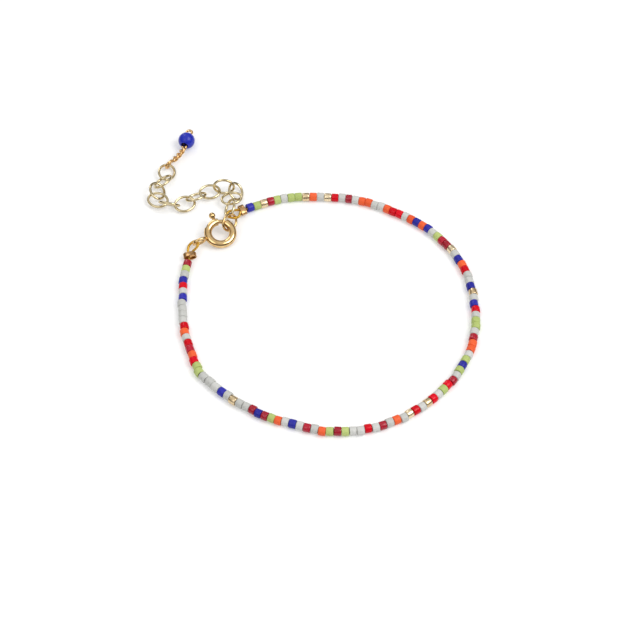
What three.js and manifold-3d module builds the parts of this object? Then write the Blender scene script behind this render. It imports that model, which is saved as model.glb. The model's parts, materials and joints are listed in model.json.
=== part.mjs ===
// A bracelet of cylinder seed beads with a spring-ring clasp, an extender chain and a bead charm.
// Millimetres, +Z up. It lies closed on the plane z = 0, and its origin is the bottom centre of its box.

import * as THREE from "three";
import { mergeVertices } from "three/addons/utils/BufferGeometryUtils.js";
import Module from "manifold-3d";

// Bead string: cylinder beads end to end on one thread, each with a small rounded edge.
// The thread ends inside the crimps, short of their middles.
const BEAD_DIAMETER = 1.6;
const BEAD_EDGE = 0.14;
const BEAD_GROOVE_DIAMETER = 1.24;
const BEAD_SIDES = 10;
const THREAD_DIAMETER = 0.4;
const THREAD_END = 0.35;

// Order of the beads from the start crimp, in stretches, with the mean bead length of each stretch.
const BEAD_STRETCHES = [
  { beads: "BLGCLWLLGOWGRW", pitch: 1.34 },
  { beads: "CWOOWWORRWOBOBWLC", pitch: 1.26 },
  { beads: "CGWBORWWBGWB", pitch: 1.345 },
  { beads: "RWLLWC", pitch: 1.28 },
  { beads: "OOWLBLWC", pitch: 1.265 },
  { beads: "RLWRGWRGW", pitch: 1.295 },
  { beads: "OWCWRWWLCLOWCWB", pitch: 1.295 },
  { beads: "WOLCBC", pitch: 1.225 },
  { beads: "WWGWB", pitch: 1.31 },
  { beads: "WWW", pitch: 1.55 },
  { beads: "LLROCRWORWWWWBWRB", pitch: 1.31 },
  { beads: "WLC", pitch: 1.33 },
];
const BEAD_COLOURS = {
  B: 0x2d2fa8,
  L: 0xb2cb5c,
  G: 0xd9b982,
  C: 0x9c1030,
  W: 0xd4d8d4,
  O: 0xfa6432,
  R: 0xdd1428,
};

// Route of the string round the wrist, from the start crimp to the end crimp, about the loop's centre.
const ROUTE = [
  { bearing: 123.7, radius: 28.1 },
  { bearing: 116, radius: 27.85 },
  { bearing: 104, radius: 27.35 },
  { bearing: 90, radius: 26.75 },
  { bearing: 75, radius: 26.55 },
  { bearing: 60, radius: 26.1 },
  { bearing: 44, radius: 26.25 },
  { bearing: 28, radius: 26.25 },
  { bearing: 12, radius: 26.0 },
  { bearing: -4, radius: 26.1 },
  { bearing: -20, radius: 26.25 },
  { bearing: -36, radius: 26.4 },
  { bearing: -52, radius: 26.5 },
  { bearing: -66, radius: 26.8 },
  { bearing: -78, radius: 26.8 },
  { bearing: -90, radius: 26.3 },
  { bearing: -102, radius: 25.7 },
  { bearing: -115, radius: 25.5 },
  { bearing: -128, radius: 25.4 },
  { bearing: -141, radius: 25.85 },
  { bearing: -148, radius: 26.0 },
  { bearing: -156, radius: 25.6 },
  { bearing: -170, radius: 25.45 },
  { bearing: -184, radius: 25.7 },
  { bearing: -196, radius: 26.6 },
  { bearing: -206.5, radius: 27.65 },
];

// Crimps: flattened tubes that grip the thread and the legs of the wire loops, a little askew to the string.
const CRIMP_WIDTH = 2.4;
const CRIMP_HEIGHT = 1.3;
const CRIMP_LENGTH = 1.0;
const CRIMP_WALL = 0.16;
const CRIMP_TO_BEADS = { start: 0.9, end: 1.3 };
const CRIMP_LIFT = 0.92;
const CRIMP_TURNS = { start: -1, end: 19 };

// Wire loops, covered with fine gimp, whose legs lie in the crimps. A loop is turned from its legs' way,
// and its outline is given in shares of its reach and of its half width.
const GIMP_DIAMETER = 0.5;
const GIMP_LEG_SPREAD = 0.84;
const GIMP_LEG_START = -0.1;
const GIMP_LEG_BEND = 0.5;
const GIMP_LIFT = 1.02;
const GIMP_TURNS = { start: 3, end: 14 };
const LOOP_ROOT = 0.65;
const LOOPS = {
  start: { reach: 3.1, width: 2.1, turn: 24, lean: -2, rise: 19 },
  end: { reach: 2.9, width: 1.85, turn: -25, lean: -21, rise: 2 },
};
const LOOP_OUTLINE = [
  { out: 0.34, aside: 0.86 },
  { out: 0.6, aside: 1 },
  { out: 0.88, aside: 0.62 },
  { out: 1, aside: 0 },
  { out: 0.88, aside: -0.62 },
  { out: 0.6, aside: -1 },
  { out: 0.34, aside: -0.86 },
];

// Spring-ring clasp: a hollow ring tube with a gap, a curved bolt inside it and a tail ring on it.
const CLASP = { x: -19.4, y: 17.3, lift: 1.48, toViewer: 16, toRight: 7 };
const CLASP_DIAMETER = 5.95;
const CLASP_TUBE = 1.42;
const CLASP_BORE = 0.94;
const CLASP_GAP = { from: 70, to: 105 };
const BOLT_DIAMETER = 0.76;
const BOLT_ARC = { from: 63, to: 150 };
const KNOB_BEARING = 117;
const KNOB_DIAMETER = 1.2;
const KNOB_NECK = 0.62;
const KNOB_CENTRE_RADIUS = 3.72;
const SLOT_WIDTH = 0.78;
const SLOT_END = 168;
const TAIL_BEARING = 209;
const TAIL_RING = { length: 2.9, width: 2.3, wire: 0.56, sunk: 0.28 };

// Oval links of one size. A lean lifts the side of a link that is to the left of its heading.
const LINK_LENGTH = 4.17;
const LINK_WIDTH = 3.47;
const LINK_WIRE = 0.47;

// The link that the clasp is closed on, through the start loop.
const CATCH_RING = { x: -17.78, y: 19.73, lift: 1.62, heading: 51, lean: 63, rise: -20 };

// Extender chain: the first link is through the start loop as well.
const LINKS = [
  { x: -17.84, y: 23.28, lift: 1.46, heading: 89, lean: 125, rise: 5 },
  { x: -17.6, y: 26.0, lift: 1.22, heading: 20, lean: -5 },
  { x: -16.9, y: 27.8, lift: 1.2, heading: 83, lean: 38 },
  { x: -19.1, y: 28.5, lift: 1.7, heading: -2, lean: 78 },
  { x: -21.7, y: 27.9, lift: 0.95, heading: 11, lean: 8 },
  { x: -24.2, y: 26.6, lift: 1.0, heading: 26, lean: -30 },
  { x: -26.2, y: 24.9, lift: 0.9, heading: 22, lean: 16 },
  { x: -29.0, y: 24.5, lift: 1.4, heading: -13, lean: -52 },
  { x: -31.2, y: 25.9, lift: 0.9, heading: -20, lean: 10 },
  { x: -31.4, y: 28.0, lift: 1.1, heading: 90, lean: 30 },
  { x: -30.5, y: 30.4, lift: 1.02, heading: 53, lean: -32 },
  { x: -29.9, y: 33.0, lift: 0.8, heading: 80, lean: 12 },
];

// Charm: a round bead held by a doubled wire that is twisted below it and looped through the last link.
const CHARM_ROUTE = [
  { x: -29.58, y: 34.8, lift: 1.0 },
  { x: -28.6, y: 36.0, lift: 1.1 },
  { x: -27.4, y: 37.6, lift: 1.35 },
  { x: -26.5, y: 40.5, lift: 1.57 },
  { x: -26.0, y: 43.0, lift: 1.57 },
];
const CHARM_BEAD = { diameter: 3.1, length: 2.75, bore: 1.35, centre: 6.6 };
const CHARM_WIRE = 0.46;
const CHARM_STRAND_SPREAD = 0.64;
const CHARM_TWIST = { from: 1.0, to: 4.9, turns: 2 };
const CHARM_EYE = { diameter: 2.0, bearings: [330, 285, 240, 195, 150, 105, 60, 35] };
const CHARM_TOP = { diameter: 1.5, aboveBead: 2.15, bearings: [-35, 10, 45, 90, 135, 170, 215] };

const GOLD = { roughness: 0.22, metalness: 1 };
const CHAIN_GOLD = { ...GOLD, color: 0xd8cda6 };
const CLASP_GOLD = { ...GOLD, color: 0xd9b46a };
const GIMP_GOLD = { ...GOLD, color: 0xd6a53a, roughness: 0.35 };
const CRIMP_GOLD = { ...GOLD, color: 0xb48a56 };
const CHARM_GOLD = { ...GOLD, color: 0xd9a75e };
const BEAD_FINISH = { vertexColors: true, roughness: 0.5, metalness: 0 };
const CHARM_BLUE = { color: 0x2233b4, roughness: 0.25, metalness: 0 };

const radians = THREE.MathUtils.degToRad;
const wasm = await Module();
wasm.setup();

// Only the positions of a geometry, with the vertices that coincide made one.
function welded(geometry) {
  const bare = geometry.clone();
  bare.deleteAttribute("normal");
  bare.deleteAttribute("uv");
  return mergeVertices(bare, 1e-4);
}

function solid(geometry) {
  const bare = welded(geometry);
  const vertProperties = bare.attributes.position.array;
  const triVerts = new Uint32Array(bare.index.array);
  return new wasm.Manifold(new wasm.Mesh({ numProp: 3, vertProperties, triVerts }));
}

function geometryOf(manifold) {
  const mesh = manifold.getMesh();
  const geometry = new THREE.BufferGeometry();
  geometry.setAttribute("position", new THREE.BufferAttribute(mesh.vertProperties, 3));
  geometry.setIndex(new THREE.BufferAttribute(mesh.triVerts, 1));
  return geometry;
}

function piece(name, geometry, finish) {
  const shape = geometry.attributes.color ? geometry : welded(geometry);
  shape.computeVertexNormals();
  const mesh = new THREE.Mesh(shape, new THREE.MeshStandardMaterial(finish));
  mesh.name = name;
  return mesh;
}

// Lays a piece that is modelled flat, with its length along X: lean turns it about that length,
// rise lifts its +X end, and heading turns it about the vertical.
function lay(object, { x, y, lift, heading = 0, lean = 0, rise = 0 }) {
  object.position.set(x, y, lift);
  object.rotation.set(radians(lean), radians(-rise), radians(heading), "ZYX");
  return object;
}

function polar(radius, bearing) {
  return new THREE.Vector2(radius * Math.cos(radians(bearing)), radius * Math.sin(radians(bearing)));
}

// A curve near the ground, read by distance along it.
class Route {
  constructor(points) {
    this.curve = new THREE.CatmullRomCurve3(points.map(({ x, y, lift }) => new THREE.Vector3(x, y, lift)));
    this.curve.arcLengthDivisions = 40 * points.length;
    this.length = this.curve.getLength();
  }

  // Direction of travel in the plane, in degrees.
  heading(distance) {
    const along = this.curve.getTangentAt(THREE.MathUtils.clamp(distance / this.length, 0, 1));
    return THREE.MathUtils.radToDeg(Math.atan2(along.y, along.x));
  }

  // The point at a distance along the route, then to the right of it and above it.
  point(distance, right = 0, above = 0) {
    const share = THREE.MathUtils.clamp(distance / this.length, 0, 1);
    const along = this.curve.getTangentAt(share);
    const across = new THREE.Vector3(along.y, -along.x, 0).normalize();
    const past = distance - share * this.length;
    const point = this.curve.getPointAt(share).addScaledVector(along, past).addScaledVector(across, right);
    point.z += above;
    return point;
  }
}

// Part of a circle about the origin in the XY plane.
class Arc extends THREE.Curve {
  constructor(radius, from, to) {
    super();
    Object.assign(this, { radius, from, to });
  }

  getPoint(t, target = new THREE.Vector3()) {
    const bearing = THREE.MathUtils.lerp(this.from, this.to, t);
    const { x, y } = polar(this.radius, bearing);
    return target.set(x, y, 0);
  }
}

function roundShape(width, height = width) {
  return new THREE.Shape().absellipse(0, 0, width / 2, height / 2, 0, 2 * Math.PI);
}

function tube(path, shape, steps, halfSides) {
  return new THREE.ExtrudeGeometry(shape, { extrudePath: path, steps, curveSegments: halfSides });
}

// A ring of round wire in the XY plane, drawn out along X to an oval where the length is given.
function ringGeometry(width, wire, length = width, sides = 16, wireSides = 6) {
  const ring = new THREE.TorusGeometry((width - wire) / 2, wire / 2, wireSides, sides);
  const position = ring.attributes.position;
  for (let i = 0; i < position.count; i += 1) {
    const bearing = Math.atan2(position.getY(i), position.getX(i));
    position.setX(i, position.getX(i) + ((length - width) / 2) * Math.cos(bearing));
  }
  return ring;
}

const stringRoute = new Route(
  ROUTE.map(({ bearing, radius }) => {
    const { x, y } = polar(radius, bearing);
    return { x, y, lift: BEAD_DIAMETER / 2 };
  }),
);

// The whole string as one turned profile, coloured bead by bead, then bent along its route.
function beadString() {
  const beads = BEAD_STRETCHES.flatMap(({ beads, pitch }) => [...beads].map((key) => ({ key, pitch })));
  const begin = CRIMP_TO_BEADS.start;
  const room = stringRoute.length - begin - CRIMP_TO_BEADS.end;
  const fill = room / beads.reduce((total, { pitch }) => total + pitch, 0);
  const toVertex = 1 / Math.cos(Math.PI / BEAD_SIDES);
  const edgeRadius = (BEAD_DIAMETER / 2) * toVertex;
  const grooveRadius = (BEAD_GROOVE_DIAMETER / 2) * toVertex;
  const threadRadius = THREAD_DIAMETER / 2;
  const profile = [
    new THREE.Vector2(0, THREAD_END),
    new THREE.Vector2(threadRadius, THREAD_END),
    new THREE.Vector2(threadRadius, begin),
  ];
  const ends = [];
  let at = begin;
  for (const { pitch } of beads) {
    profile.push(new THREE.Vector2(grooveRadius, at));
    profile.push(new THREE.Vector2(edgeRadius, at + BEAD_EDGE));
    profile.push(new THREE.Vector2(edgeRadius, at + pitch * fill - BEAD_EDGE));
    at += pitch * fill;
    ends.push(at);
  }
  const last = stringRoute.length - THREAD_END;
  profile.push(new THREE.Vector2(grooveRadius, at));
  profile.push(new THREE.Vector2(threadRadius, at));
  profile.push(new THREE.Vector2(threadRadius, last));
  profile.push(new THREE.Vector2(0, last));

  const turned = new THREE.LatheGeometry(profile, BEAD_SIDES, Math.PI / BEAD_SIDES);
  const string = welded(turned).toNonIndexed();
  const position = string.attributes.position;
  const colours = [];
  const colour = new THREE.Color();
  for (let corner = 0; corner < position.count; corner += 3) {
    const middle = (position.getY(corner) + position.getY(corner + 1) + position.getY(corner + 2)) / 3;
    const bead = beads[ends.findIndex((end) => middle < end)] ?? beads.at(-1);
    colour.set(BEAD_COLOURS[bead.key]);
    colours.push(...colour, ...colour, ...colour);
  }
  for (let i = 0; i < position.count; i += 1) {
    const bent = stringRoute.point(position.getY(i), position.getX(i), position.getZ(i));
    position.setXYZ(i, bent.x, bent.y, bent.z);
  }
  string.setAttribute("color", new THREE.Float32BufferAttribute(colours, 3));
  return piece("bead_string", string, BEAD_FINISH);
}

// A crimp and the wire loop that comes out of it, each modelled with its way out along +X.
function stringEnd(side, distance, outward) {
  const section = roundShape(CRIMP_WIDTH, CRIMP_HEIGHT);
  section.holes.push(roundShape(CRIMP_WIDTH - 2 * CRIMP_WALL, CRIMP_HEIGHT - 2 * CRIMP_WALL));
  const crimpShape = new THREE.ExtrudeGeometry(section, {
    depth: CRIMP_LENGTH,
    bevelEnabled: false,
    curveSegments: 8,
  });
  crimpShape.translate(0, 0, -CRIMP_LENGTH / 2);
  crimpShape.rotateY(Math.PI / 2).rotateX(Math.PI / 2);
  const crimp = piece(`${side}_crimp`, crimpShape, CRIMP_GOLD);

  const { reach, width, turn, lean, rise } = LOOPS[side];
  const leg = (GIMP_LEG_SPREAD - GIMP_DIAMETER / 2) / 2;
  const bend = new THREE.Euler(radians(lean), radians(-rise), radians(turn), "ZYX");
  const root = new THREE.Vector3(LOOP_ROOT, 0, 0);
  const outline = LOOP_OUTLINE.map(({ out, aside }) => {
    const flat = new THREE.Vector3(out * reach, (aside * width) / 2, 0);
    return flat.applyEuler(bend).add(root);
  });
  const path = new THREE.CatmullRomCurve3([
    new THREE.Vector3(GIMP_LEG_START, leg, 0),
    new THREE.Vector3(GIMP_LEG_BEND, leg, 0),
    ...outline,
    new THREE.Vector3(GIMP_LEG_BEND, -leg, 0),
    new THREE.Vector3(GIMP_LEG_START, -leg, 0),
  ]);
  const loop = piece(`${side}_loop`, tube(path, roundShape(GIMP_DIAMETER), 26, 4), GIMP_GOLD);

  const { x, y } = stringRoute.point(distance);
  lay(crimp, { x, y, lift: CRIMP_LIFT, heading: outward + CRIMP_TURNS[side] });
  lay(loop, { x, y, lift: GIMP_LIFT, heading: outward + GIMP_TURNS[side] });
  return new THREE.Group().add(crimp, loop);
}

function claspRadius() {
  return (CLASP_DIAMETER - CLASP_TUBE) / 2;
}

// The ring tube with its slot for the knob, and the tail ring soldered to it at right angles.
function claspBody() {
  const radius = claspRadius();
  const section = roundShape(CLASP_TUBE);
  section.holes.push(roundShape(CLASP_BORE));
  const arc = new Arc(radius, CLASP_GAP.to, CLASP_GAP.from + 360);
  const ring = solid(tube(arc, section, 34, 6));

  const reach = radius + CLASP_TUBE;
  const start = radians(CLASP_GAP.to - 10);
  const slotShape = new THREE.Shape();
  slotShape.absarc(0, 0, reach, start, radians(SLOT_END), false);
  slotShape.absarc(0, 0, radius + CLASP_BORE / 4, radians(SLOT_END), start, true);
  const slot = new THREE.ExtrudeGeometry(slotShape, {
    depth: SLOT_WIDTH,
    bevelEnabled: false,
    curveSegments: 8,
  });
  slot.translate(0, 0, -SLOT_WIDTH / 2);

  const { length, width, wire, sunk } = TAIL_RING;
  const tail = ringGeometry(width, wire, length).rotateX(Math.PI / 2);
  tail.translate(CLASP_DIAMETER / 2 + length / 2 - sunk, 0, 0).rotateZ(radians(TAIL_BEARING));
  return piece("clasp_body", geometryOf(ring.subtract(solid(slot)).add(solid(tail))), CLASP_GOLD);
}

// The curved bolt that closes the gap, with the knob that draws it back.
function claspBolt() {
  const radius = claspRadius();
  const bolt = solid(tube(new Arc(radius, BOLT_ARC.from, BOLT_ARC.to), roundShape(BOLT_DIAMETER), 12, 5));
  const neckLength = KNOB_CENTRE_RADIUS - radius;
  const neck = new THREE.CylinderGeometry(KNOB_NECK / 2, KNOB_NECK / 2, neckLength, 10);
  neck.rotateZ(Math.PI / 2).translate(radius + neckLength / 2, 0, 0).rotateZ(radians(KNOB_BEARING));
  const knob = new THREE.SphereGeometry(KNOB_DIAMETER / 2, 12, 8);
  knob.translate(KNOB_CENTRE_RADIUS, 0, 0).rotateZ(radians(KNOB_BEARING));
  return piece("clasp_bolt", geometryOf(bolt.add(solid(neck)).add(solid(knob))), CLASP_GOLD);
}

function clasp() {
  const group = new THREE.Group().add(claspBody(), claspBolt());
  group.position.set(CLASP.x, CLASP.y, CLASP.lift);
  group.rotation.set(radians(CLASP.toViewer), radians(CLASP.toRight), 0, "YXZ");
  return group;
}

function link(name, place, finish) {
  return lay(piece(name, ringGeometry(LINK_WIDTH, LINK_WIRE, LINK_LENGTH, 14), finish), place);
}

function chain() {
  const links = LINKS.map((place, i) => {
    const count = String(i + 1).padStart(2, "0");
    return link(`chain_link_${count}`, place, CHAIN_GOLD);
  });
  return new THREE.Group().add(link("catch_ring", CATCH_RING, CLASP_GOLD), ...links);
}

// A drilled bead, fullest at its middle, as a closed ring profile.
function charmBead(route) {
  const { diameter, length, bore, centre } = CHARM_BEAD;
  const steps = 8;
  const profile = [];
  const mouth = Math.acos(length / diameter);
  for (let i = 0; i <= steps; i += 1) {
    const bearing = THREE.MathUtils.lerp(-Math.PI / 2 + mouth, Math.PI / 2 - mouth, i / steps);
    const radius = Math.max(bore / 2 + 0.05, (diameter / 2) * Math.cos(bearing));
    profile.push(new THREE.Vector2(radius, (diameter / 2) * Math.sin(bearing)));
  }
  profile.push(new THREE.Vector2(bore / 2, length / 2));
  profile.push(new THREE.Vector2(bore / 2, -length / 2));
  profile.push(profile[0].clone());
  const bead = piece("charm_bead", new THREE.LatheGeometry(profile, 16), CHARM_BLUE);
  bead.position.copy(route.point(centre));
  bead.rotation.z = radians(route.heading(centre) - 90);
  return bead;
}

// One wire: the eye round the last link, a twisted pair of strands, and the loop above the bead.
function charmWire(route) {
  const half = CHARM_STRAND_SPREAD / 2;
  const bead = CHARM_BEAD;
  const strand = (sign) => {
    const points = [];
    const steps = 8 * CHARM_TWIST.turns;
    for (let i = 0; i <= steps; i += 1) {
      const distance = THREE.MathUtils.lerp(CHARM_TWIST.from, CHARM_TWIST.to, i / steps);
      const turn = 2 * Math.PI * CHARM_TWIST.turns * (i / steps);
      points.push([distance, sign * half * Math.cos(turn), sign * half * Math.sin(turn)]);
    }
    const crossed = Math.cos(2 * Math.PI * CHARM_TWIST.turns);
    for (const distance of [-bead.length / 3, 0, bead.length / 2]) {
      points.push([bead.centre + distance, sign * half * crossed, 0]);
    }
    return points;
  };
  const first = strand(1);
  const second = strand(-1).reverse();
  const topRadius = (CHARM_TOP.diameter - CHARM_WIRE) / 2;
  const way = Math.sign(first.at(-1)[1]);
  const top = CHARM_TOP.bearings.map((bearing) => {
    const { x, y } = polar(topRadius, bearing);
    return [bead.centre + CHARM_TOP.aboveBead + y, way * x, 0];
  });
  const eyeRadius = (CHARM_EYE.diameter - CHARM_WIRE) / 2;
  const eye = CHARM_EYE.bearings.map((bearing, i) => {
    const { x, y } = polar(eyeRadius, bearing);
    return [x, THREE.MathUtils.lerp(-half, half, i / (CHARM_EYE.bearings.length - 1)), y];
  });
  const path = [...first, ...top, ...second, ...eye].map((p) => route.point(...p));
  const curve = new THREE.CatmullRomCurve3(path);
  return piece("charm_wire", tube(curve, roundShape(CHARM_WIRE), 120, 3), CHARM_GOLD);
}

function charm() {
  const route = new Route(CHARM_ROUTE);
  return new THREE.Group().add(charmBead(route), charmWire(route));
}

const bracelet = new THREE.Group();
bracelet.add(
  beadString(),
  stringEnd("start", 0, stringRoute.heading(0) + 180),
  stringEnd("end", stringRoute.length, stringRoute.heading(stringRoute.length)),
  clasp(),
  chain(),
  charm(),
);

// The origin goes to the bottom centre of the whole bracelet's box.
bracelet.updateMatrixWorld(true);
const box = new THREE.Box3().setFromObject(bracelet, true);
const centre = box.getCenter(new THREE.Vector3());
bracelet.position.set(-centre.x, -centre.y, -box.min.z);

export default bracelet;
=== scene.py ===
import json
import math
import random

import bmesh
import bpy
import numpy
from mathutils import Matrix, Vector


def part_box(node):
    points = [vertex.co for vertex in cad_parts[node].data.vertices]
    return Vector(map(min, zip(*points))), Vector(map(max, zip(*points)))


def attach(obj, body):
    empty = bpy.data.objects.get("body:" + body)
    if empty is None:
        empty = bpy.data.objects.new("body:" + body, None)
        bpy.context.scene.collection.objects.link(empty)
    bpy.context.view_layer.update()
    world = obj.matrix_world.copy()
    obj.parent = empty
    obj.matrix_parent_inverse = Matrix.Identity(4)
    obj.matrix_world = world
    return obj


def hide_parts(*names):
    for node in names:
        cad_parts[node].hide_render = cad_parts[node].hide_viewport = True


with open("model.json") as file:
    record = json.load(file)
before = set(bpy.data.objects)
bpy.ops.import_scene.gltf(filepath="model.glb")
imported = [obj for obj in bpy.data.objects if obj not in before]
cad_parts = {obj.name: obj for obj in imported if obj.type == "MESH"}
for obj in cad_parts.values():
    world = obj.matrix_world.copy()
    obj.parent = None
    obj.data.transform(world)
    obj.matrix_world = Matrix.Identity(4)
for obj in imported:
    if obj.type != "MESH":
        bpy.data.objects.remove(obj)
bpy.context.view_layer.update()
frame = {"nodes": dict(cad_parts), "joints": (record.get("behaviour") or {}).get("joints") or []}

# A seed-bead bracelet, closed on its spring-ring clasp and lying on a white table.
# Sizes are in millimetres, and every finished mesh is scaled to metres.
MM = 0.001
BRACELET = "bracelet"
BOLT_BODY = "clasp_bolt"

# Beads in order from the start crimp, in stretches, with the mean bead length of each stretch.
BEAD_STRETCHES = [
    ("BLGCLWLLGOWGRW", 1.34),
    ("CWOOWWORRWOBOBWLC", 1.26),
    ("CGWBORWWBGWB", 1.345),
    ("RWLLWC", 1.28),
    ("OOWLBLWC", 1.265),
    ("RLWRGWRGW", 1.295),
    ("OWCWRWWLCLOWCWB", 1.295),
    ("WOLCBC", 1.225),
    ("WWGWB", 1.31),
    ("WWW", 1.55),
    ("LLROCRWORWWWWBWRB", 1.31),
    ("WLC", 1.33),
]
BEAD_DIAMETER = 1.6
BEAD_BORE = 0.82
BEAD_EDGE = 0.15
BEAD_SIDES = 20
BEAD_CLEARANCE = 0.045
BEAD_SEED = 12
BEAD_ASIDE = 0.08
BEAD_TILT = 2.2
BEAD_TILT_RISE = 0.6
BEAD_SIZES = (0.94, 1.0)
BEAD_LENGTHS = (0.95, 1.05)
THREAD_DIAMETER = 0.4
THREAD_END = 0.35
THREAD_STEPS = 260
THREAD_SIDES = 8

# Bearing and radius of the string's route about the loop's centre, from the start crimp to the end crimp.
STRING_ROUTE = [
    (123.7, 28.1), (116, 27.85), (104, 27.35), (90, 26.75), (75, 26.55), (60, 26.1), (44, 26.25),
    (28, 26.25), (12, 26.0), (-4, 26.1), (-20, 26.25), (-36, 26.4), (-52, 26.5), (-66, 26.8),
    (-78, 26.8), (-90, 26.3), (-102, 25.7), (-115, 25.5), (-128, 25.4), (-141, 25.85), (-148, 26.0),
    (-156, 25.6), (-170, 25.45), (-184, 25.7), (-196, 26.6), (-206.5, 27.65),
]

# Crimps at the string's ends, and the gimp-covered wire loops whose legs lie in them. A loop is turned
# from its legs' way, and its outline is given in shares of its reach and of its half width.
CRIMP_WIDTH = 2.4
CRIMP_HEIGHT = 1.3
CRIMP_LENGTH = 1.0
CRIMP_WALL = 0.16
CRIMP_WAIST = 0.97
CRIMP_EDGE = 0.055
CRIMP_SIDES = 40
CRIMP_STEPS = 10
CRIMP_TO_BEADS = {"start": 0.9, "end": 1.3}
CRIMP_LIFT = 0.92
CRIMP_TURNS = {"start": -1, "end": 19}
GIMP_DIAMETER = 0.5
GIMP_CORE = 0.32
GIMP_CORE_STEP = 0.12
GIMP_CORE_SIDES = 8
GIMP_WIRE = 0.12
GIMP_WIRE_SIDES = 6
GIMP_PITCH = 0.125
GIMP_STEPS_A_TURN = 10
GIMP_LEG = 0.295
GIMP_LEG_START = -0.1
GIMP_LEG_BEND = 0.5
GIMP_LIFT = 1.02
GIMP_TURNS = {"start": 3, "end": 14}
LOOP_ROOT = 0.65
LOOPS = {
    "start": {"reach": 3.1, "width": 2.1, "turn": 24, "lean": -2, "rise": 19},
    "end": {"reach": 2.9, "width": 1.85, "turn": -25, "lean": -21, "rise": 2},
}
LOOP_OUTLINE = [(0.34, 0.86), (0.6, 1), (0.88, 0.62), (1, 0), (0.88, -0.62), (0.6, -1), (0.34, -0.86)]

# Spring-ring clasp, about its own centre, with bearings from its own X axis.
CLASP_DIAMETER = 5.95
CLASP_TUBE = 1.42
CLASP_BORE = 0.94
CLASP_EDGE = 0.045
CLASP_STEPS = 84
CLASP_SIDES = 24
CLASP_GAP = (70, 105)
CLASP_RADIUS = (CLASP_DIAMETER - CLASP_TUBE) / 2
BOLT_DIAMETER = 0.76
BOLT_EDGE = 0.12
BOLT_STEPS = 30
BOLT_SIDES = 20
BOLT_ARC = (63, 150)
KNOB_BEARING = 117
KNOB_DIAMETER = 1.2
KNOB_NECK = 0.62
KNOB_CENTRE_RADIUS = 3.72
KNOB_RINGS = 12
KNOB_SIDES = 24
SLOT_END = 168
SLOT_HALF_ANGLE = 38
TAIL_BEARING = 209
TAIL_LENGTH = 2.9
TAIL_WIDTH = 2.3
TAIL_WIRE = 0.56
TAIL_SUNK = 0.28

# Chain links and the catch, and the steps and sides of every oval ring.
LINK_WIRE = 0.47
LINK_COUNT = 12
OVAL_STEPS = 48
OVAL_SIDES = 12

# Charm: a round bead on a doubled wire that is twisted below it and looped through the last link.
CHARM_ROUTE = [
    (-29.58, 34.8, 1.0),
    (-28.6, 36.0, 1.1),
    (-27.4, 37.6, 1.35),
    (-26.5, 40.5, 1.57),
    (-26.0, 43.0, 1.57),
]
CHARM_BEAD_DIAMETER = 3.1
CHARM_BEAD_LENGTH = 2.75
CHARM_BEAD_BORE = 1.35
CHARM_BEAD_CENTRE = 6.6
CHARM_BEAD_RIM = 0.05
CHARM_BEAD_TONE = 0.5
CHARM_BEAD_RINGS = 20
CHARM_BEAD_SIDES = 40
CHARM_WIRE = 0.46
CHARM_WIRE_STEP = 0.09
CHARM_WIRE_SIDES = 10
CHARM_STRAND_SPREAD = 0.64
CHARM_TWIST = {"from": 1.0, "to": 4.9, "turns": 2, "points": 16}
CHARM_EYE = {"diameter": 2.0, "bearings": (330, 285, 240, 195, 150, 105, 60, 35)}
CHARM_TOP = {"diameter": 1.5, "above": 2.15, "bearings": (-35, 10, 45, 90, 135, 170, 215)}

# Camera of the photograph, and the point on the table that it looks at, from the loop's centre.
CAMERA_ELEVATION = 51.0
CAMERA_DISTANCE = 346.0
CAMERA_LENS = 110.8
CAMERA_SENSOR = 36.0
CAMERA_NEAREST = 10.0
CAMERA_AIM = (-1.35, -1.8, 0.0)

# Table, with the reach of its top to each side and its share of glow, and the soft lights round it: the
# place and side of each in millimetres, and its power in watts. The studio round them is dark below and
# pale above, each tone from a height in shares of its dome.
TABLE_REACH = 3000
TABLE_WHITE = 0.74
TABLE_GLOW = 0.26
TABLE_ROUGHNESS = 0.9
TABLE_SHINE = 0.1
LIGHTS = {
    "key_light": ((420, -120, 580), 440, 2.8),
    "back_light": ((-260, 520, 380), 260, 0.6),
    "front_light": ((-320, -380, 520), 420, 0.8),
}
STUDIO_LOW = {"height": 0.22, "tone": (0.07, 0.065, 0.06, 1)}
STUDIO_HIGH = {"height": 0.9, "tone": (0.86, 0.86, 0.86, 1)}


def srgb(red, green, blue):
    """A colour in 0 to 255 as linear light."""
    shares = [channel / 255 for channel in (red, green, blue)]
    light = [s / 12.92 if s <= 0.04045 else ((s + 0.055) / 1.055) ** 2.4 for s in shares]
    return (*light, 1.0)


def polar(radius, bearing):
    angle = math.radians(bearing)
    return radius * math.cos(angle), radius * math.sin(angle)


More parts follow.
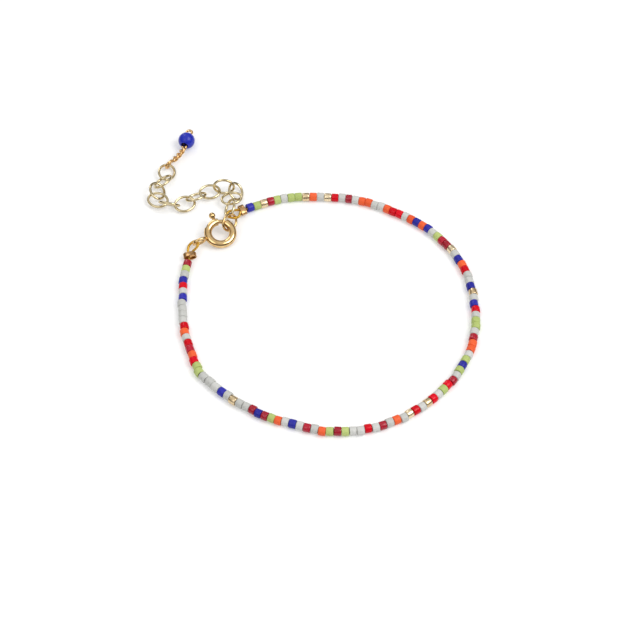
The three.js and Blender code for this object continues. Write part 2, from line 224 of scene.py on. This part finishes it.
class Route:
    """A smooth curve through a few points, read by distance along it."""

    STEPS = 40

    def __init__(self, points):
        points = [Vector(p) for p in points]
        ends = [2 * points[0] - points[1], *points, 2 * points[-1] - points[-2]]
        self.line = [points[0]]
        for before, start, stop, after in zip(ends, ends[1:], ends[2:], ends[3:]):
            self.line += self.stretch(before, start, stop, after)
        self.reached = [0.0]
        for start, stop in zip(self.line, self.line[1:]):
            self.reached.append(self.reached[-1] + (stop - start).length)
        self.length = self.reached[-1]

    def stretch(self, before, start, stop, after):
        first = (start - before).length ** 0.5
        middle = (stop - start).length ** 0.5
        last = (after - stop).length ** 0.5
        leave = (start - before) / first - (stop - before) / (first + middle) + (stop - start) / middle
        arrive = (stop - start) / middle - (after - start) / (middle + last) + (after - stop) / last
        leave *= middle
        arrive *= middle
        points = []
        for i in range(1, self.STEPS + 1):
            t = i / self.STEPS
            bend = -3 * start + 3 * stop - 2 * leave - arrive
            twist = 2 * start - 2 * stop + leave + arrive
            points.append(start + t * leave + t * t * bend + t**3 * twist)
        return points

    def at(self, distance):
        """The point at a distance, on the straight line beyond the ends."""
        index = int(numpy.searchsorted(self.reached, distance)) - 1
        index = min(max(index, 0), len(self.line) - 2)
        span = self.reached[index + 1] - self.reached[index]
        return self.line[index].lerp(self.line[index + 1], (distance - self.reached[index]) / span)

    def along(self, distance):
        step = 0.05
        return (self.at(distance + step) - self.at(distance - step)).normalized()

    def heading(self, distance):
        along = self.along(distance)
        return math.degrees(math.atan2(along.y, along.x))

    def point(self, distance, right=0.0, above=0.0):
        """The point at a distance along the route, then to the right of it and above it."""
        along = self.along(distance)
        across = Vector((along.y, -along.x, 0)).normalized()
        return self.at(distance) + across * right + Vector((0, 0, above))

    def points(self, step):
        count = math.ceil(self.length / step)
        return [self.at(self.length * i / count) for i in range(count + 1)]


def loop_to_frame():
    """Shift from the loop's centre to the frame, from the box of the CAD bead string."""
    low, high = (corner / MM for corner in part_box("bead_string"))
    route = Route([(*polar(radius, bearing), 0) for bearing, radius in STRING_ROUTE])
    middle = []
    for axis in (0, 1):
        places = [p[axis] for p in route.line]
        middle.append((min(places) + max(places)) / 2)
    return Vector(((low.x + high.x) / 2 - middle[0], (low.y + high.y) / 2 - middle[1], 0))


LOOP_SHIFT = loop_to_frame()
string_route = Route(
    [Vector((*polar(radius, bearing), BEAD_DIAMETER / 2)) + LOOP_SHIFT for bearing, radius in STRING_ROUTE]
)
charm_route = Route([Vector(p) + LOOP_SHIFT for p in CHARM_ROUTE])


# Finishes: each one varies its colour and roughness over the surface, and has a fine relief.
# The share of a bead's colour that is set by its own tone, the rest being cloudiness.
TONE_SHARE = 0.7
# The range that soft noise mostly keeps to.
NOISE_RANGE = (0.3, 0.7)
# Sizes of specks and ripples and the depth of the relief in millimetres, then the relief's strengths.
BEAD_SPECKLE = 0.3
GOLD_SPECKLE = 0.25
GOLD_RIPPLE = 0.5
RELIEF_DEPTH = 0.012
BEAD_RELIEF = 0.05
GOLD_RELIEF = 0.07
COAT_ROUGHNESS = 0.12


def new_finish(name):
    material = bpy.data.materials.new(name)
    material.use_nodes = True
    tree = material.node_tree
    return material, tree, tree.nodes["Principled BSDF"]


def add_node(tree, kind, inputs=(), **settings):
    node = tree.nodes.new(kind)
    for key, value in settings.items():
        setattr(node, key, value)
    for socket, value in dict(inputs).items():
        if isinstance(value, bpy.types.NodeSocket):
            tree.links.new(value, node.inputs[socket])
        else:
            node.inputs[socket].default_value = value
    return node


def cloud(tree, grain, detail=2.0):
    """Soft noise over the piece, with grains of about this size in millimetres."""
    place = add_node(tree, "ShaderNodeTexCoord")
    noise = {"Vector": place.outputs["Object"], "Scale": 1 / (grain * MM), "Detail": detail}
    return add_node(tree, "ShaderNodeTexNoise", noise).outputs["Fac"]


def between(tree, share, low, high):
    """The share, spread over a range of values."""
    faint, full = NOISE_RANGE
    spread = {"Value": share, "From Min": faint, "From Max": full, "To Min": low, "To Max": high}
    return add_node(tree, "ShaderNodeMapRange", spread).outputs["Result"]


def mixed(tree, share, first, second):
    node = add_node(tree, "ShaderNodeMix", data_type="RGBA")
    for socket, value in ((node.inputs[0], share), (node.inputs[6], first), (node.inputs[7], second)):
        if isinstance(value, bpy.types.NodeSocket):
            tree.links.new(value, socket)
        else:
            socket.default_value = value
    return node.outputs[2]


def relief(tree, shader, grain, strength):
    """Fine bumps, with their grain in millimetres."""
    bump = {"Height": cloud(tree, grain), "Distance": RELIEF_DEPTH * MM, "Strength": strength}
    node = add_node(tree, "ShaderNodeBump", bump)
    tree.links.new(node.outputs["Normal"], shader.inputs["Normal"])


def bead_finish(name, pale, deep, roughness, shine=0.5, metallic=0.0, coat=0.0, grain=0.5):
    """Glass of a bead: beads differ in tone, and each is a little cloudy."""
    material, tree, shader = new_finish(name)
    tone = add_node(tree, "ShaderNodeAttribute", attribute_name="tone").outputs["Fac"]
    haze = between(tree, cloud(tree, grain), 0.0, 1 - TONE_SHARE)
    share = add_node(tree, "ShaderNodeMath", {0: tone, 1: TONE_SHARE, 2: haze}, operation="MULTIPLY_ADD")
    tree.links.new(mixed(tree, share.outputs[0], srgb(*deep), srgb(*pale)), shader.inputs["Base Color"])
    low, high = roughness
    tree.links.new(between(tree, cloud(tree, BEAD_SPECKLE), low, high), shader.inputs["Roughness"])
    shader.inputs["Specular IOR Level"].default_value = shine
    shader.inputs["Metallic"].default_value = metallic
    shader.inputs["Coat Weight"].default_value = coat
    shader.inputs["Coat Roughness"].default_value = COAT_ROUGHNESS
    relief(tree, shader, BEAD_SPECKLE, BEAD_RELIEF)
    return material


def gold_finish(name, bright, deep, roughness, grain=0.9):
    """Plated metal, a little deeper in tone and duller where it is rubbed."""
    material, tree, shader = new_finish(name)
    rubbed = between(tree, cloud(tree, grain, 4.0), 0.0, 1.0)
    tree.links.new(mixed(tree, rubbed, srgb(*deep), srgb(*bright)), shader.inputs["Base Color"])
    low, high = roughness
    tree.links.new(between(tree, cloud(tree, GOLD_SPECKLE, 3.0), low, high), shader.inputs["Roughness"])
    shader.inputs["Metallic"].default_value = 1.0
    relief(tree, shader, GOLD_RIPPLE, GOLD_RELIEF)
    return material


BEAD_FINISHES = {
    "B": bead_finish("cobalt_matte_glass", (46, 46, 176), (22, 24, 138), (0.34, 0.48), shine=0.35),
    "L": bead_finish("lime_matte_glass", (190, 205, 124), (166, 184, 102), (0.44, 0.58), shine=0.4),
    "G": bead_finish("champagne_gold_glass", (240, 222, 186), (208, 180, 136), (0.24, 0.36), metallic=1.0),
    "C": bead_finish("crimson_lustre_glass", (190, 16, 48), (146, 4, 30), (0.2, 0.3), shine=0.4, coat=0.15),
    "W": bead_finish("chalk_white_glass", (209, 209, 205), (184, 185, 180), (0.36, 0.5), shine=0.4),
    "O": bead_finish("orange_matte_glass", (246, 104, 52), (226, 80, 34), (0.4, 0.54), shine=0.35),
    "R": bead_finish("red_glass", (228, 4, 34), (196, 1, 20), (0.2, 0.3), shine=0.2),
}
BEAD_NAMES = {
    "B": "beads_cobalt",
    "L": "beads_lime",
    "G": "beads_gold",
    "C": "beads_crimson",
    "W": "beads_white",
    "O": "beads_orange",
    "R": "beads_red",
}
THREAD_FINISH = bead_finish("waxed_thread", (214, 172, 80), (182, 134, 50), (0.5, 0.7), grain=0.2)
CRIMP_GOLD = gold_finish("crimp_gold", (214, 174, 124), (180, 138, 92), (0.2, 0.34))
GIMP_GOLD = gold_finish("gimp_gold", (236, 196, 92), (212, 164, 60), (0.22, 0.36))
CLASP_GOLD = gold_finish("clasp_gold", (234, 203, 150), (208, 172, 116), (0.06, 0.14))
CHAIN_GOLD = gold_finish("chain_gold", (226, 211, 174), (198, 180, 138), (0.06, 0.14))
CHARM_GOLD = gold_finish("charm_gold", (236, 198, 142), (210, 164, 104), (0.12, 0.24))
CHARM_BLUE = bead_finish(
    "charm_cobalt_glass", (30, 52, 200), (16, 20, 140), (0.26, 0.4), shine=0.4, grain=1.2
)


# Ways of making: each mesh is made in millimetres, and `finished` turns it into a piece of the object.
# Edges that turn by more than this many degrees count as sharp.
SHARP_TURN = 50


def finished(name, bm, material, slot, body, *nodes):
    bmesh.ops.scale(bm, vec=(MM, MM, MM), verts=bm.verts)
    for face in bm.faces:
        face.smooth = True
    mesh = bpy.data.meshes.new(name)
    bm.to_mesh(mesh)
    bm.free()
    mesh.materials.append(material)
    piece = bpy.data.objects.new(name, mesh)
    bpy.context.scene.collection.objects.link(piece)
    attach(piece, body)
    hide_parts(*nodes)


def soften(bm, edges, width, segments):
    """Rounds off edges."""
    bmesh.ops.bevel(
        bm, geom=edges, offset=width, offset_type="OFFSET", segments=segments, profile=0.5,
        affect="EDGES", material=-1,
    )


def sharp_edges(bm):
    return [e for e in bm.edges if e.is_manifold and e.calc_face_angle() > math.radians(SHARP_TURN)]


def turned(bm, profile, steps, closed):
    """A profile of (along, out) points turned about the X axis, closed on itself or on the axis."""
    verts = [bm.verts.new((along, 0, out)) for along, out in profile]
    pairs = list(zip(verts, verts[1:]))
    if closed:
        pairs.append((verts[-1], verts[0]))
    edges = [bm.edges.new(pair) for pair in pairs]
    bmesh.ops.spin(
        bm, geom=verts + edges, cent=(0, 0, 0), axis=(1, 0, 0), angle=2 * math.pi, steps=steps, use_merge=True
    )
    bmesh.ops.remove_doubles(bm, verts=bm.verts, dist=1e-5)
    bmesh.ops.recalc_face_normals(bm, faces=bm.faces)


def wire_ring(bm, radius, wire, steps, sides, start=0.0, sweep=360.0):
    """Round wire bent about the Z axis, in a full ring or an arc with open ends."""
    section = bmesh.ops.create_circle(bm, segments=sides, radius=wire / 2)["verts"]
    edges = list({e for v in section for e in v.link_edges})
    upright = Matrix.Rotation(math.radians(90), 4, "X")
    place = Matrix.Rotation(math.radians(start), 4, "Z") @ Matrix.Translation((radius, 0, 0)) @ upright
    bmesh.ops.transform(bm, matrix=place, verts=section)
    bmesh.ops.spin(
        bm, geom=section + edges, cent=(0, 0, 0), axis=(0, 0, 1), angle=math.radians(sweep), steps=steps,
        use_merge=sweep == 360.0,
    )


def oval_ring(bm, length, width, wire):
    """A ring of round wire, drawn out along X to an oval."""
    wire_ring(bm, (width - wire) / 2, wire, OVAL_STEPS, OVAL_SIDES)
    for vert in bm.verts:
        vert.co.x += (length - width) / 2 * vert.co.x / math.hypot(vert.co.x, vert.co.y)
    bmesh.ops.recalc_face_normals(bm, faces=bm.faces)


def swept_wire(bm, path, wire, sides):
    """Round wire along a list of points, with its ends closed."""
    last = len(path) - 1
    ways = [(path[min(i + 1, last)] - path[max(i - 1, 0)]).normalized() for i in range(last + 1)]
    ring = bmesh.ops.create_circle(bm, segments=sides, radius=wire / 2)["verts"]
    edges = list({e for v in ring for e in v.link_edges})
    turn = Vector((0, 0, 1)).rotation_difference(ways[0]).to_matrix().to_4x4()
    bmesh.ops.transform(bm, matrix=Matrix.Translation(path[0]) @ turn, verts=ring)
    first = edges
    for i in range(1, last + 1):
        made = bmesh.ops.extrude_edge_only(bm, edges=edges)["geom"]
        ring = {g for g in made if isinstance(g, bmesh.types.BMVert)}
        edges = [g for g in made if isinstance(g, bmesh.types.BMEdge) and ring.issuperset(g.verts)]
        swing = ways[i - 1].rotation_difference(ways[i]).to_matrix()
        bmesh.ops.rotate(bm, cent=path[i - 1], matrix=swing, verts=list(ring))
        bmesh.ops.translate(bm, vec=path[i] - path[i - 1], verts=list(ring))
    bmesh.ops.edgeloop_fill(bm, edges=first)
    bmesh.ops.edgeloop_fill(bm, edges=edges)


def coiled(route, radius, pitch, per_turn):
    """Points of a close coil round a route."""
    count = round(route.length / pitch * per_turn)
    out = route.along(0).orthogonal().normalized()
    points = []
    for i in range(count + 1):
        distance = route.length * i / count
        along = route.along(distance)
        out = (out - along * out.dot(along)).normalized()
        angle = 2 * math.pi * i / per_turn
        side = along.cross(out)
        points.append(route.at(distance) + radius * (math.cos(angle) * out + math.sin(angle) * side))
    return points


def laid(place, heading):
    """Matrix that lays a piece whose length is along X at a place and a heading."""
    return Matrix.Translation(place) @ Matrix.Rotation(math.radians(heading), 4, "Z")


def join(bm, other):
    """Adds another mesh to this one."""
    mesh = bpy.data.meshes.new("joined")
    other.to_mesh(mesh)
    other.free()
    bm.from_mesh(mesh)
    bpy.data.meshes.remove(mesh)


# Bead string
def bead_pattern():
    """One drilled cylinder bead of unit length along X, with rounded rims."""
    bm = bmesh.new()
    half = 0.5
    rim = BEAD_DIAMETER / 2
    bore = BEAD_BORE / 2
    turned(bm, [(-half, bore), (-half, rim), (half, rim), (half, bore)], BEAD_SIDES, True)
    outer = [e for e in sharp_edges(bm) if all(math.hypot(v.co.y, v.co.z) > 0.95 * rim for v in e.verts)]
    soften(bm, outer, BEAD_EDGE, 3)
    mesh = bpy.data.meshes.new("bead_pattern")
    bm.to_mesh(mesh)
    bm.free()
    return mesh


def bead_lengths(chance):
    """Colour and length of each bead: lengths vary a little, and each stretch keeps its own."""
    room = string_route.length - sum(CRIMP_TO_BEADS.values())
    fill = room / sum(pitch * len(run) for run, pitch in BEAD_STRETCHES)
    lengths = []
    for run, pitch in BEAD_STRETCHES:
        shares = [chance.uniform(*BEAD_LENGTHS) for _ in run]
        even = pitch * fill * len(run) / sum(shares)
        lengths += [(key, share * even) for key, share in zip(run, shares)]
    return lengths


def beads():
    """All the beads, with those of one colour joined, and each a little different from the next."""
    chance = random.Random(BEAD_SEED)
    pattern = bead_pattern()
    strings = {key: bmesh.new() for key in BEAD_NAMES}
    tones = {key: bm.verts.layers.float.new("tone") for key, bm in strings.items()}
    begin = CRIMP_TO_BEADS["start"]
    for key, length in bead_lengths(chance):
        middle = begin + length / 2
        begin += length
        size = chance.uniform(*BEAD_SIZES)
        across = Vector((0, 1, BEAD_TILT_RISE * chance.uniform(-1, 1))).normalized()
        tilt = Matrix.Rotation(math.radians(chance.gauss(0, BEAD_TILT)), 4, across)
        roll = Matrix.Rotation(chance.uniform(0, 2 * math.pi), 4, "X")
        grown = Matrix.Diagonal((length - BEAD_CLEARANCE, size, size, 1))
        aim = Matrix.Rotation(math.radians(string_route.heading(middle)), 4, "Z")
        place = string_route.point(middle, chance.gauss(0, BEAD_ASIDE))
        place.z = BEAD_DIAMETER / 2 * (size + 1) / 2
        bm = strings[key]
        have = len(bm.verts)
        bm.from_mesh(pattern)
        bm.verts.ensure_lookup_table()
        new = bm.verts[have:]
        bmesh.ops.transform(bm, matrix=Matrix.Translation(place) @ aim @ tilt @ grown @ roll, verts=new)
        tone = chance.uniform(0, 1)
        for vert in new:
            vert[tones[key]] = tone
    for key, bm in strings.items():
        finished(BEAD_NAMES[key], bm, BEAD_FINISHES[key], "beads", BRACELET, "bead_string")
    bpy.data.meshes.remove(pattern)


def thread():
    bm = bmesh.new()
    span = string_route.length - 2 * THREAD_END
    path = [string_route.at(THREAD_END + span * i / THREAD_STEPS) for i in range(THREAD_STEPS + 1)]
    swept_wire(bm, path, THREAD_DIAMETER, THREAD_SIDES)
    bmesh.ops.recalc_face_normals(bm, faces=bm.faces)
    finished("thread", bm, THREAD_FINISH, "beads", BRACELET, "bead_string")


# String ends
def crimp(side, place):
    """A short oval tube, pressed in at its waist."""
    bm = bmesh.new()
    ring = bmesh.ops.create_circle(bm, segments=CRIMP_SIDES, radius=0.5)["verts"]
    edges = list({e for v in ring for e in v.link_edges})
    upright = Matrix.Rotation(math.radians(90), 4, "Y")
    spread = Matrix.Diagonal((1, CRIMP_WIDTH, CRIMP_HEIGHT, 1))
    start = Matrix.Translation((-CRIMP_LENGTH / 2, 0, 0))
    bmesh.ops.transform(bm, matrix=start @ spread @ upright, verts=ring)
    for _ in range(CRIMP_STEPS):
        made = bmesh.ops.extrude_edge_only(bm, edges=edges)["geom"]
        ring = {g for g in made if isinstance(g, bmesh.types.BMVert)}
        edges = [g for g in made if isinstance(g, bmesh.types.BMEdge) and ring.issuperset(g.verts)]
        bmesh.ops.translate(bm, vec=(CRIMP_LENGTH / CRIMP_STEPS, 0, 0), verts=list(ring))
    for vert in bm.verts:
        pressed = math.cos(math.pi * vert.co.x / CRIMP_LENGTH) ** 2
        vert.co.y *= 1 - (1 - CRIMP_WAIST) * pressed
        vert.co.z *= 1 - (1 - CRIMP_WAIST) * pressed
    bmesh.ops.recalc_face_normals(bm, faces=bm.faces)
    bmesh.ops.solidify(bm, geom=bm.faces[:], thickness=CRIMP_WALL)
    soften(bm, sharp_edges(bm), CRIMP_EDGE, 3)
    bmesh.ops.transform(bm, matrix=place, verts=bm.verts)
    finished(f"{side}_crimp_tube", bm, CRIMP_GOLD, "crimp_gold", BRACELET, f"{side}_crimp")


def gimp_loop(side, place):
    """A wire loop covered with a close coil of fine wire."""
    loop = LOOPS[side]
    turn = Matrix.Rotation(math.radians(loop["turn"]), 4, "Z")
    rise = Matrix.Rotation(math.radians(-loop["rise"]), 4, "Y")
    lean = Matrix.Rotation(math.radians(loop["lean"]), 4, "X")
    bent = Matrix.Translation((LOOP_ROOT, 0, 0)) @ turn @ rise @ lean
    leg = [Vector((GIMP_LEG_START, GIMP_LEG, 0)), Vector((GIMP_LEG_BEND, GIMP_LEG, 0))]
    other_leg = [Vector((p.x, -p.y, 0)) for p in reversed(leg)]
    outline = [
        bent @ Vector((out * loop["reach"], aside * loop["width"] / 2, 0)) for out, aside in LOOP_OUTLINE
    ]
    route = Route([place @ p for p in leg + outline + other_leg])
    bm = bmesh.new()
    swept_wire(bm, route.points(GIMP_CORE_STEP), GIMP_CORE, GIMP_CORE_SIDES)
    coil = coiled(route, (GIMP_DIAMETER - GIMP_WIRE) / 2, GIMP_PITCH, GIMP_STEPS_A_TURN)
    swept_wire(bm, coil, GIMP_WIRE, GIMP_WIRE_SIDES)
    bmesh.ops.recalc_face_normals(bm, faces=bm.faces)
    finished(f"{side}_gimp_loop", bm, GIMP_GOLD, "gimp_gold", BRACELET, f"{side}_loop")


def string_end(side, distance, outward):
    """The crimp and the wire loop at one end of the string, with their way out from it."""
    x, y, _ = string_route.at(distance)
    crimp(side, laid((x, y, CRIMP_LIFT), outward + CRIMP_TURNS[side]))
    gimp_loop(side, laid((x, y, GIMP_LIFT), outward + GIMP_TURNS[side]))


# Clasp
def clasp_place():
    """The clasp's own axes, from the hinge that its bolt turns on."""
    hinge = frame["joints"][0]
    axis = Vector(hinge["axis"]).normalized()
    across = Vector((0, 1, 0)).cross(axis).normalized()
    axes = Matrix((across, axis.cross(across), axis)).transposed()
    return Matrix.Translation(Vector(hinge["pos_m"]) / MM) @ axes.to_4x4()


def clasp_body(place):
    """A hollow ring tube with a gap for the catch and a slot for the knob, and the tail ring soldered on."""
    bm = bmesh.new()
    sweep = 360 - (CLASP_GAP[1] - CLASP_GAP[0])
    wire_ring(bm, CLASP_RADIUS, CLASP_TUBE, CLASP_STEPS, CLASP_SIDES, CLASP_GAP[1], sweep)
    bmesh.ops.recalc_face_normals(bm, faces=bm.faces)
    slot = []
    for face in bm.faces:
        middle = face.calc_center_median()
        bearing = math.degrees(math.atan2(middle.y, middle.x)) % 360
        out = math.degrees(math.atan2(middle.z, math.hypot(middle.x, middle.y) - CLASP_RADIUS))
        if CLASP_GAP[1] <= bearing < SLOT_END and abs(out) < SLOT_HALF_ANGLE:
            slot.append(face)
    bmesh.ops.delete(bm, geom=slot, context="FACES")
    bmesh.ops.solidify(bm, geom=bm.faces[:], thickness=(CLASP_TUBE - CLASP_BORE) / 2)
    soften(bm, sharp_edges(bm), CLASP_EDGE, 2)

    tail = bmesh.new()
    oval_ring(tail, TAIL_LENGTH, TAIL_WIDTH, TAIL_WIRE)
    outward = Matrix.Translation((CLASP_DIAMETER / 2 + TAIL_LENGTH / 2 - TAIL_SUNK, 0, 0))
    aim = Matrix.Rotation(math.radians(TAIL_BEARING), 4, "Z")
    upright = Matrix.Rotation(math.radians(90), 4, "X")
    bmesh.ops.transform(tail, matrix=aim @ outward @ upright, verts=tail.verts)
    join(bm, tail)
    bmesh.ops.transform(bm, matrix=place, verts=bm.verts)
    finished("clasp_ring", bm, CLASP_GOLD, "clasp_gold", BRACELET, "clasp_body")


def clasp_bolt(place):
    """The curved bolt that closes the gap, and the turned knob that draws it back."""
    bm = bmesh.new()
    sweep = BOLT_ARC[1] - BOLT_ARC[0]
    wire_ring(bm, CLASP_RADIUS, BOLT_DIAMETER, BOLT_STEPS, BOLT_SIDES, BOLT_ARC[0], sweep)
    open_edges = [e for e in bm.edges if e.is_boundary]
    bmesh.ops.holes_fill(bm, edges=open_edges, sides=0)
    bmesh.ops.recalc_face_normals(bm, faces=bm.faces)
    soften(bm, sharp_edges(bm), BOLT_EDGE, 3)

    knob = bmesh.new()
    ball = KNOB_DIAMETER / 2
    neck = KNOB_NECK / 2
    foot = math.asin(neck / ball)
    profile = [(CLASP_RADIUS, 0), (CLASP_RADIUS, neck)]
    for i in range(KNOB_RINGS + 1):
        angle = foot + (math.pi - foot) * i / KNOB_RINGS
        out = ball * math.sin(angle) if i < KNOB_RINGS else 0
        profile.append((KNOB_CENTRE_RADIUS - ball * math.cos(angle), out))
    turned(knob, profile, KNOB_SIDES, False)
    aim = Matrix.Rotation(math.radians(KNOB_BEARING), 4, "Z")
    bmesh.ops.transform(knob, matrix=aim, verts=knob.verts)
    join(bm, knob)
    bmesh.ops.transform(bm, matrix=place, verts=bm.verts)
    finished("bolt_and_knob", bm, CLASP_GOLD, "clasp_gold", BOLT_BODY, "clasp_bolt")


# Chain
def solid_axes(node):
    """Middle of a CAD link, its axes from the longest to the thinnest, and its half sizes along them."""
    corners = {tuple(round(c / MM, 4) for c in v.co) for v in frame["nodes"][node].data.vertices}
    points = numpy.array(sorted(corners))
    middle = points.mean(axis=0)
    _, axes = numpy.linalg.eigh(numpy.cov((points - middle).T))
    long = Vector(axes[:, 2])
    wide = Vector(axes[:, 1])
    halves = [max(abs((points - middle) @ axes[:, k])) for k in (2, 1)]
    return Vector(middle), Matrix((long, wide, long.cross(wide))).transposed(), halves


def oval_link(node, name, material, slot):
    """An oval link of round wire, on the axes of its CAD solid."""
    middle, axes, (long, wide) = solid_axes(node)
    bm = bmesh.new()
    oval_ring(bm, 2 * long, 2 * wide, LINK_WIRE)
    bmesh.ops.transform(bm, matrix=Matrix.Translation(middle) @ axes.to_4x4(), verts=bm.verts)
    finished(name, bm, material, slot, BRACELET, node)


def chain():
    oval_link("catch_ring", "catch_link", CLASP_GOLD, "clasp_gold")
    for i in range(1, LINK_COUNT + 1):
        oval_link(f"chain_link_{i:02d}", f"link_{i:02d}", CHAIN_GOLD, "chain_gold")


# Charm
def charm_bead():
    bm = bmesh.new()
    radius = CHARM_BEAD_DIAMETER / 2
    bore = CHARM_BEAD_BORE / 2
    mouth = math.acos(CHARM_BEAD_LENGTH / CHARM_BEAD_DIAMETER)
    profile = []
    for i in range(CHARM_BEAD_RINGS + 1):
        angle = mouth + (math.pi - 2 * mouth) * i / CHARM_BEAD_RINGS
        profile.append((-radius * math.cos(angle), max(bore + CHARM_BEAD_RIM, radius * math.sin(angle))))
    profile += [(CHARM_BEAD_LENGTH / 2, bore), (-CHARM_BEAD_LENGTH / 2, bore)]
    turned(bm, profile, CHARM_BEAD_SIDES, True)
    tones = bm.verts.layers.float.new("tone")
    for vert in bm.verts:
        vert[tones] = CHARM_BEAD_TONE
    place = laid(charm_route.at(CHARM_BEAD_CENTRE), charm_route.heading(CHARM_BEAD_CENTRE))
    bmesh.ops.transform(bm, matrix=place, verts=bm.verts)
    finished("charm_round_bead", bm, CHARM_BLUE, "charm_blue", BRACELET, "charm_bead")


def charm_strand(sign):
    """One strand of the twisted pair, then straight on through the bead."""
    half = CHARM_STRAND_SPREAD / 2
    turns = CHARM_TWIST["turns"]
    count = CHARM_TWIST["points"]
    points = []
    for i in range(count + 1):
        distance = CHARM_TWIST["from"] + (CHARM_TWIST["to"] - CHARM_TWIST["from"]) * i / count
        turn = 2 * math.pi * turns * i / count
        points.append((distance, sign * half * math.cos(turn), sign * half * math.sin(turn)))
    crossed = math.cos(2 * math.pi * turns)
    for distance in (-CHARM_BEAD_LENGTH / 3, 0, CHARM_BEAD_LENGTH / 2):
        points.append((CHARM_BEAD_CENTRE + distance, sign * half * crossed, 0))
    return points


def charm_wire():
    """One wire: the eye round the last link, the twisted strands, and the loop above the bead."""
    half = CHARM_STRAND_SPREAD / 2
    first = charm_strand(1)
    second = charm_strand(-1)[::-1]
    way = math.copysign(1, first[-1][1])
    top = []
    for bearing in CHARM_TOP["bearings"]:
        x, y = polar((CHARM_TOP["diameter"] - CHARM_WIRE) / 2, bearing)
        top.append((CHARM_BEAD_CENTRE + CHARM_TOP["above"] + y, way * x, 0))
    eye = []
    steps = len(CHARM_EYE["bearings"]) - 1
    for i, bearing in enumerate(CHARM_EYE["bearings"]):
        x, y = polar((CHARM_EYE["diameter"] - CHARM_WIRE) / 2, bearing)
        eye.append((x, -half + 2 * half * i / steps, y))
    route = Route([charm_route.point(*p) for p in first + top + second + eye])
    bm = bmesh.new()
    swept_wire(bm, route.points(CHARM_WIRE_STEP), CHARM_WIRE, CHARM_WIRE_SIDES)
    bmesh.ops.recalc_face_normals(bm, faces=bm.faces)
    finished("charm_twisted_wire", bm, CHARM_GOLD, "charm_gold", BRACELET, "charm_wire")


# Table, light and camera
def table():
    bm = bmesh.new()
    bmesh.ops.create_grid(bm, x_segments=1, y_segments=1, size=TABLE_REACH * MM)
    mesh = bpy.data.meshes.new("table_top")
    bm.to_mesh(mesh)
    bm.free()
    material, _, shader = new_finish("white_table")
    shader.inputs["Base Color"].default_value = (TABLE_WHITE, TABLE_WHITE, TABLE_WHITE, 1.0)
    shader.inputs["Emission Color"].default_value = (1.0, 1.0, 1.0, 1.0)
    shader.inputs["Emission Strength"].default_value = TABLE_GLOW
    shader.inputs["Roughness"].default_value = TABLE_ROUGHNESS
    shader.inputs["Specular IOR Level"].default_value = TABLE_SHINE
    mesh.materials.append(material)
    top = bpy.data.objects.new("table_top", mesh)
    bpy.context.scene.collection.objects.link(top)


def soft_box(name, place, size, power):
    """A square light that faces the bracelet, placed and sized in millimetres."""
    light = bpy.data.lights.new(name, "AREA")
    light.size = size * MM
    light.energy = power
    box = bpy.data.objects.new(name, light)
    box.location = Vector(place) * MM
    box.rotation_euler = (-Vector(place)).to_track_quat("-Z", "Y").to_euler()
    bpy.context.scene.collection.objects.link(box)


def light():
    for name, (place, size, power) in LIGHTS.items():
        soft_box(name, place, size, power)
    world = bpy.data.worlds.new("studio")
    bpy.context.scene.world = world
    world.use_nodes = True
    tree = world.node_tree
    way = add_node(tree, "ShaderNodeTexCoord").outputs["Generated"]
    height = add_node(tree, "ShaderNodeSeparateXYZ", {"Vector": way}).outputs["Z"]
    ramp = add_node(tree, "ShaderNodeValToRGB", {"Fac": height})
    for stop, part in zip(ramp.color_ramp.elements, (STUDIO_LOW, STUDIO_HIGH)):
        stop.position = part["height"]
        stop.color = part["tone"]
    tree.links.new(ramp.outputs["Color"], tree.nodes["Background"].inputs["Color"])


def camera():
    lens = bpy.data.cameras.new("photo_camera")
    lens.lens = CAMERA_LENS
    lens.sensor_width = CAMERA_SENSOR
    lens.clip_start = CAMERA_NEAREST * MM
    eye = bpy.data.objects.new("photo_camera", lens)
    tilt = math.radians(CAMERA_ELEVATION)
    back = Vector((0, -math.cos(tilt), math.sin(tilt)))
    eye.location = (Vector(CAMERA_AIM) + LOOP_SHIFT + CAMERA_DISTANCE * back) * MM
    eye.rotation_euler = (math.radians(90) - tilt, 0, 0)
    bpy.context.scene.collection.objects.link(eye)
    bpy.context.scene.camera = eye
    bpy.context.scene.view_settings.view_transform = "Standard"


camera()
light()
table()
beads()
thread()
string_end("start", 0, string_route.heading(0) + 180)
string_end("end", string_route.length, string_route.heading(string_route.length))
clasp_body(clasp_place())
clasp_bolt(clasp_place())
chain()
charm_bead()
charm_wire()
